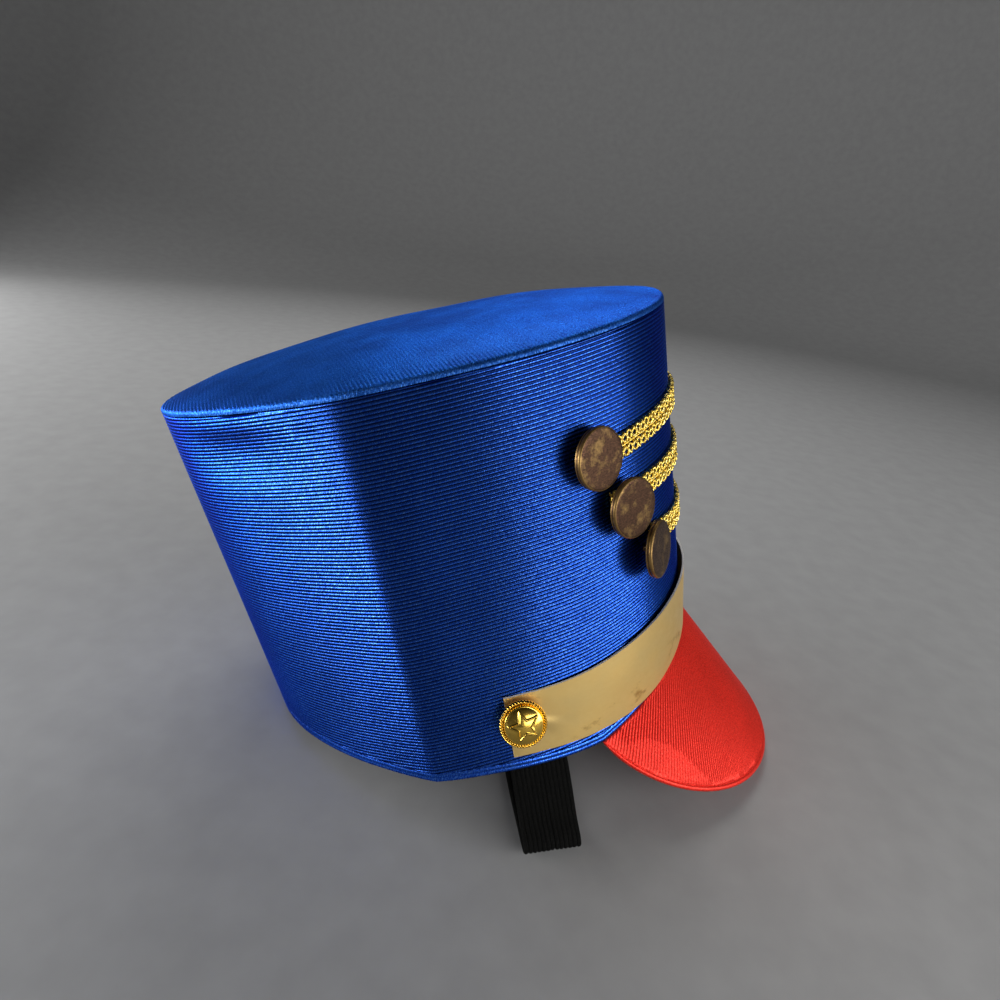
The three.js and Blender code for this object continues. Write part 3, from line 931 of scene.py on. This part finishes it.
def stitches(name, path, outward, material, length=2.4, gap=0.7, radius=0.22):
    """Short thread stitches along a path, each a little raised in the middle."""
    steps = np.concatenate([[0], np.cumsum(np.linalg.norm(np.diff(path, axis=0), axis=1))])
    parts = []
    for start in np.arange(0.5, steps[-1] - length - 0.5, length + gap):
        share = np.linspace(0, 1, 7)
        at = start + length * share
        line = np.stack([np.interp(at, steps, path[:, k]) for k in range(3)], -1)
        out = unit(np.stack([np.interp(at, steps, outward[:, k]) for k in range(3)], -1))
        bow = np.sin(np.pi * share)
        line = line + out * (0.16 * bow - 0.1)[:, None]
        parts.append(tube(line, radius * (0.35 + 0.65 * bow**0.5), 6, out))
    points, faces = joined(parts)
    return add_piece(name, to_row(points), faces, [material], sharp=180)


def hem_stitches(material):
    angle = np.linspace(180, 540, 720)
    height = np.linalg.norm(plain_wall(angle, 1) - plain_wall(angle, 0), axis=-1)
    rise = rim_rise(angle) + (HEM_HEIGHT - 0.35) / height
    path = wall(angle, rise, -0.2)
    outward = unit(wall(angle, rise, 1) - wall(angle, rise, 0))
    stitches("hem_stitches", path, outward, material)


def peak_stitches(material):
    angle = np.linspace(-PEAK_HALF_ANGLE + 2, PEAK_HALF_ANGLE - 2, 600)
    root, edge, below = peak_line(angle)
    length = np.linalg.norm(edge - root, axis=-1)
    share = 1 - np.minimum(2.6 / length, 0.5)
    path = root + (edge - root) * share[:, None] + below * 0.28
    stitches("peak_stitches", path, -below, material, 2.0, 0.6, 0.2)


# Band

# Puckers of the foil round the buttons, the scale they are worked out in, and its thickness
BAND_WAVE = 0.12
BAND_PUCKER = 0.55
PUCKER_RING = 9.5
PUCKER_WIDTH = 5.5
MM_PER_DEGREE = 1.65
BAND_WIDTH = 26
BUTTON_LEVEL = 0.62
BAND_SHEET = 0.8


def band_pucker(angle, level):
    """Small puckers of the foil round each button and a slow wave along the band."""
    wave = BAND_WAVE * np.sin(angle / 4.3) * np.cos(level * 5)
    arc = (round_angle(angle) - STAR_BUTTON_ANGLE) * MM_PER_DEGREE
    up = (level - BUTTON_LEVEL) * BAND_WIDTH
    distance = np.hypot(arc, up)
    turn = np.arctan2(up, arc)
    pucker = BAND_PUCKER * np.exp(-(((distance - PUCKER_RING) / PUCKER_WIDTH) ** 2))
    return wave + pucker * (np.cos(5 * turn + 0.6) + 0.5 * np.cos(9 * turn - 0.4)) * 0.5


def front_band(foil_material, edge_material):
    columns, rows = 321, 25
    angle = np.linspace(-BAND_HALF_ANGLE, BAND_HALF_ANGLE, columns)[:, None]
    level = np.linspace(0, 1, rows)[None]
    front = fade(np.abs(angle) / BAND_HALF_ANGLE)
    over_arch = rim_rise(angle) + BAND_OVER_ARCH
    lower = (BAND_LOWER_RISE**4 + over_arch**4) ** 0.25
    upper = BAND_UPPER_RISE + (BAND_FRONT_RISE - BAND_UPPER_RISE) * front
    rise = lower + (upper - lower) * level
    stand_off = BAND_FLARE * level * front
    pucker = np.maximum(band_pucker(angle, level), -0.1)
    base = GAP + stand_off + np.maximum(pucker, 0) * 0.9
    outer = wall(angle, rise, base + BAND_SHEET)
    inner = wall(angle, rise, base)
    points, quads = solid_sheet(outer, inner)
    sheet_quads = 2 * (columns - 1) * (rows - 1)
    indices = np.where(np.arange(len(quads)) < sheet_quads, 0, 1)
    return add_piece(
        "front_band_foil",
        to_row(points),
        quads,
        [foil_material, edge_material],
        ["front_band"],
        sharp=40,
        indices=indices,
    )


# Braids

BRAID_LOOP = 5.4
BRAID_ROW_OFFSET = 2.55
BRAID_ROW_HALF = 1.75
BRAID_STEP = 0.45
FILAMENT_RADIUS = 0.33
FILAMENT_TWIST = 2.0
FILAMENT_SPREAD = 0.4
CORE_HEIGHT = 0.75
CORE_RADIUS = 0.32
CORE_SPREAD = 0.28


def braid(entry, material):
    """Two rows of loops: in each row two twisted strands weave past each other."""
    name, end_angle, middle_rise, end_rise = entry
    angle = np.linspace(-end_angle, end_angle, 2001)
    rise = middle_rise + (end_rise - middle_rise) * (angle / end_angle) ** 2
    line = wall(angle, rise, GAP)
    steps = np.concatenate([[0], np.cumsum(np.linalg.norm(np.diff(line, axis=0), axis=1))])
    count = int(steps[-1] / BRAID_STEP)
    s = np.linspace(0, steps[-1], count)
    angle = np.interp(s, steps, angle)
    rise = np.interp(s, steps, rise)
    base = wall(angle, rise, GAP)
    along = unit(np.gradient(base, axis=0))
    up = unit(wall(angle, rise + 0.01, 0) - wall(angle, rise - 0.01, 0))
    out = unit(np.cross(up, along))
    out = out * np.sign((out * (base - np.array([0, 0, 1]) * base[:, 2:])).sum(-1, keepdims=True))
    up = np.cross(along, out) * np.sign((np.cross(along, out) * up).sum(-1, keepdims=True))

    def strand(side, height, twist, filaments, radius, spread):
        centre = base + up * side[:, None] + out * height[:, None]
        made = []
        for k in range(filaments):
            turn = 2 * np.pi * (s / FILAMENT_TWIST + k / filaments) + twist
            offset = up * np.cos(turn)[:, None] + out * np.sin(turn)[:, None]
            made.append(tube(centre + spread * offset, np.full(count, radius), 6, out))
        return made

    parts = []
    middle_height = BRAID_THICKNESS / 2
    for row, sign in ((0, -1), (1, 1)):
        for k in range(2):
            swing = 2 * np.pi * s / BRAID_LOOP + np.pi * k + 0.9 * row
            side = sign * BRAID_ROW_OFFSET + BRAID_ROW_HALF * np.sin(swing)
            height = middle_height + 0.3 * np.sin(2 * swing + np.pi * k)
            parts += strand(side, height, k, 3, FILAMENT_RADIUS, FILAMENT_SPREAD)
    flat = np.zeros(count)
    parts += strand(flat, flat + CORE_HEIGHT, 0.5, 2, CORE_RADIUS, CORE_SPREAD)
    points, faces = joined(parts)
    add_piece(name + "_gimp", to_row(points), faces, [material], [name], sharp=180)


# Buttons

def seat(angle, rise, distance, turn=0.0, tip=0.0):
    """Foot, side, outward and up directions of a button on the wall."""
    along = unit(wall(angle + 0.5, rise, 0) - wall(angle - 0.5, rise, 0))
    up = unit(wall(angle, rise + 0.01, 0) - wall(angle, rise - 0.01, 0))
    out = unit(np.cross(up, along))
    foot = wall(angle, rise, 0) + out * distance
    out = out - along * math.copysign(math.tan(math.radians(turn)), angle)
    out = unit(out + up * math.tan(math.radians(tip)))
    side = unit(np.cross(out, up))
    return foot, side, out, np.cross(side, out)


def revolved(profile, segments, place):
    """Points and quads of a turned piece: the profile is (radius, height), axis to axis."""
    foot, side, out, up = place
    turns = 2 * np.pi * np.arange(segments) / segments
    ring = np.cos(turns)[:, None] * side + np.sin(turns)[:, None] * up
    profile = np.asarray(profile, float)
    points = foot + profile[None, :, :1] * ring[:, None] + profile[None, :, 1:] * out
    ids = np.arange(segments * len(profile)).reshape(segments, -1)
    ids[:, 0] = ids[0, 0]
    ids[:, -1] = ids[0, -1]
    return points.reshape(-1, 3), grid_quads(ids, True)


def compact(points, faces):
    """Leaves out points that no face uses."""
    used, numbers = np.unique(faces, return_inverse=True)
    return points[used], numbers.reshape(faces.shape)


def disc_profile(back):
    face = back + DISC_THICKNESS
    rim = DISC_RADIUS
    return [
        (0, 0),
        (DISC_SHANK_RADIUS, 0),
        (DISC_SHANK_RADIUS, back * 0.9),
        (DISC_SHANK_RADIUS + 0.4, back),
        (rim - 1.0, back),
        (rim - 0.4, back + 0.12),
        (rim - 0.1, back + 0.4),
        (rim - 0.1, back + 0.9),
        (rim - 0.2, back + 1.1),
        (rim - 0.2, back + 1.25),
        (rim - 0.05, back + 1.45),
        (rim, back + 1.8),
        (rim - 0.05, face - 0.55),
        (rim - 0.25, face - 0.25),
        (rim - 0.6, face - 0.06),
        (rim - 1.2, face),
        (rim * 0.75, face),
        (rim * 0.5, face),
        (rim * 0.25, face),
        (0, face),
    ]


RUBBED_ROWS = (5, 6, 10, 11, 12, 13)


def discs(face_material, rim_material):
    for suffix, sign in SIDES:
        for name, angle, rise, turn, under in DISCS:
            lift = DISC_SHANK_RADIUS * math.tan(math.radians(turn))
            distance = under + GAP + lift
            place = seat(sign * angle, rise, distance, turn)
            profile = disc_profile(DISC_STAND_OFF - distance)
            points, quads = revolved(profile, 96, place)
            rows = np.arange(len(quads)) % (len(profile) - 1)
            rubbed = np.isin(rows, RUBBED_ROWS)
            body = split_quads(quads[~rubbed])
            rim = split_quads(quads[rubbed])
            points, faces = compact(points, np.concatenate([body, rim]))
            indices = np.arange(len(faces)) >= len(body)
            node = name + suffix
            add_piece(
                node + "_worn",
                to_row(points),
                faces,
                [face_material, rim_material],
                [node],
                sharp=35,
                indices=indices,
            )


def star_distance(x, y):
    """Distance of points from the outline of the star."""
    turns = np.pi / 5 * np.arange(10) + np.pi / 2 + STAR_TURN
    radius = np.where(np.arange(10) % 2, STAR_RADIUS * STAR_WAIST, STAR_RADIUS)
    corners = np.stack([radius * np.cos(turns), radius * np.sin(turns)], -1)
    nearest = np.full(x.shape, 1e9)
    for one, two in zip(corners, np.roll(corners, -1, 0)):
        edge = two - one
        share = ((x - one[0]) * edge[0] + (y - one[1]) * edge[1]) / (edge @ edge)
        share = np.clip(share, 0, 1)
        away = np.hypot(x - one[0] - share * edge[0], y - one[1] - share * edge[1])
        nearest = np.minimum(nearest, away)
    return nearest


STAR_SEGMENTS = 480
STAR_RINGS = 72
STAR_TEETH = 48
STAR_FLANGE = 1.62
STAR_TOOTH_RING = 8.55
STAR_TOOTH_HEIGHT = 0.65
STAR_LINE_HEIGHT = 0.34
STAR_LINE_WIDTH = 0.27


def ridge(distance, width):
    """A smooth ridge, 1 in the middle, whose height falls to 1/e at width from it."""
    return np.exp(-((distance / width) ** 2))


def star_button(material, suffix, sign):
    lift = STAR_SHANK_RADIUS * math.tan(math.radians(STAR_BUTTON_TIP))
    distance = GAP + BAND_VINYL + GAP + lift
    foot, side, out, up = seat(sign * STAR_BUTTON_ANGLE, STAR_BUTTON_RISE, distance, 0, STAR_BUTTON_TIP)
    turns = 2 * np.pi * np.arange(STAR_SEGMENTS) / STAR_SEGMENTS
    radii = np.linspace(0.05, STAR_BUTTON_RADIUS - 0.15, STAR_RINGS)[::-1]
    r, t = np.meshgrid(radii, turns)
    inside = np.clip(r / STAR_DOME_RADIUS, 0, 1)
    height = STAR_DOME_BASE + STAR_DOME_HEIGHT * np.sqrt(np.maximum(1 - inside**2, 0))
    flange = STAR_FLANGE - 0.35 * np.clip((r - STAR_BUTTON_RADIUS + 0.6) / 0.6, 0, 1) ** 2
    height = np.where(r > STAR_DOME_RADIUS, flange, height)
    groove = ridge(r - STAR_DOME_RADIUS - 0.05, 0.16)
    bead = ridge(r - STAR_DOME_RADIUS + 0.3, 0.22)
    height = height - 0.3 * groove + 0.26 * bead
    teeth = (0.5 + 0.5 * np.cos(STAR_TEETH * t)) ** 0.7
    height = height + STAR_TOOTH_HEIGHT * teeth * ridge(r - STAR_TOOTH_RING, 0.4)
    away = star_distance(r * np.cos(t), r * np.sin(t))
    height = height + STAR_LINE_HEIGHT * ridge(away, STAR_LINE_WIDTH)
    ring = np.cos(t)[..., None] * side + np.sin(t)[..., None] * up
    face = foot + r[..., None] * ring + (STAR_SHANK_LENGTH + height)[..., None] * out
    edge = STAR_BUTTON_RADIUS + 0.12 * np.cos(STAR_TEETH * turns)
    back_profile = [
        (STAR_SHANK_RADIUS * 0.01, 0.0),
        (STAR_SHANK_RADIUS, 0.0),
        (STAR_SHANK_RADIUS, STAR_SHANK_LENGTH),
        (STAR_BUTTON_RADIUS - 0.7, STAR_SHANK_LENGTH),
    ]
    rim_profile = [(-0.15, 0.35), (0.0, 0.75), (-0.02, 1.1)]
    rows = [foot + radius * ring[:, 0] + level * out for radius, level in back_profile]
    for inset, level in rim_profile:
        rows.append(foot + (edge + inset)[:, None] * ring[:, 0] + (STAR_SHANK_LENGTH + level) * out)
    points = np.concatenate([np.stack(rows, 1), face], 1)
    ids = np.arange(points.shape[0] * points.shape[1]).reshape(points.shape[:2])
    points = points.reshape(-1, 3)
    ids[:, 0] = ids[0, 0]
    ids[:, -1] = ids[0, -1]
    points[ids[0, 0]] = foot
    points, faces = compact(points, split_quads(grid_quads(ids, True)))
    node = "star_button" + suffix
    add_piece(node + "_gilt", to_row(points), faces, [material], [node], sharp=60)


# Floor and light

# The floor and the wall that it sweeps up into, in metres
SWEEP_FLAT = 1.4
SWEEP_CURVE = 0.8
SWEEP_HEIGHT = 3.0
SWEEP_SIDES = 96


def add_floor():
    """A plain round floor that sweeps up into a wall far from the hat on every side."""
    curve = np.linspace(0, np.pi / 2, 13)
    radii = SWEEP_FLAT + SWEEP_CURVE * np.sin(curve)
    heights = SWEEP_CURVE * (1 - np.cos(curve))
    line = [*zip(radii, heights), (SWEEP_FLAT + SWEEP_CURVE, SWEEP_HEIGHT)]
    turns = 2 * np.pi * np.arange(SWEEP_SIDES) / SWEEP_SIDES
    points = [(r * math.cos(t), r * math.sin(t), z) for t in turns for r, z in line]
    ids = np.arange(len(points)).reshape(SWEEP_SIDES, -1)
    faces = [ids[:, 0].tolist()] + grid_quads(ids, True).tolist()
    mesh = bpy.data.meshes.new("floor")
    mesh.from_pydata(points, [], faces)
    mesh.materials.append(plain_floor())
    mesh.shade_smooth()
    floor = bpy.data.objects.new("floor", mesh)
    bpy.context.scene.collection.objects.link(floor)


# Soft lights aimed at the hat: name, place and size in metres, watts
LIGHT_AIM = (0.0, 0.0, 0.1)
LIGHTS = [
    ("left_softbox", (-0.12, 1.08, 0.17), (1.75, 0.32), 22),
    ("right_softbox", (-0.62, -0.88, 0.32), (1.5, 0.42), 12),
    ("back_softbox", (0.80, 0.10, 0.95), (0.8, 0.6), 6),
]
WORLD_COLOUR = (0.80, 0.81, 0.83)
WORLD_STRENGTH = 0.04


def add_light(name, place, size, watts):
    data = bpy.data.lights.new(name, "AREA")
    data.shape = "RECTANGLE"
    data.size, data.size_y = size
    data.energy = watts
    light = bpy.data.objects.new(name, data)
    direction = Vector(LIGHT_AIM) - Vector(place)
    light.rotation_euler = direction.to_track_quat("-Z", "Y").to_euler()
    light.location = place
    bpy.context.scene.collection.objects.link(light)


def add_world():
    world = bpy.data.worlds.new("studio")
    world.use_nodes = True
    background = world.node_tree.nodes["Background"]
    background.inputs["Color"].default_value = (*WORLD_COLOUR, 1)
    background.inputs["Strength"].default_value = WORLD_STRENGTH
    bpy.context.scene.world = world


add_camera()
add_strap()

blue = satin(
    "blue_satin",
    BLUES,
    metallic=0.95,
    roughness=0.28,
    edge_tint=BLUE_EDGE,
    mottle=0.2,
    coat=0.06,
)
blue_top = satin(
    "blue_satin_top",
    TOP_BLUES,
    metallic=0.9,
    roughness=0.48,
    edge_tint=(0.04, 0.40, 1.0),
    mottle=0.4,
    relief=0.4,
    coat=0.02,
)
blue_thread = satin(
    "blue_thread",
    THREAD_BLUES,
    metallic=0.5,
    roughness=0.5,
    edge_tint=BLUE_EDGE,
)
red = satin(
    "red_satin",
    REDS,
    metallic=0.5,
    roughness=0.45,
    edge_tint=(1.0, 0.12, 0.08),
    coat=0.12,
)
crown_side(blue)
crown_top(blue_top)
hem_stitches(blue_thread)
peak(red)
peak_stitches(red)
front_band(foil(), vinyl_edge())
gold = braid_gold()
for entry in BRAIDS:
    braid(entry, gold)
discs(bronze("worn_bronze", 0.50, 0.72), bronze("rubbed_bronze", 0.2, 0.6))
gilt = polished_gold()
for suffix, sign in SIDES:
    star_button(gilt, suffix, sign)

add_floor()
add_world()
for light in LIGHTS:
    add_light(*light)
bpy.context.scene.view_settings.view_transform = "Standard"
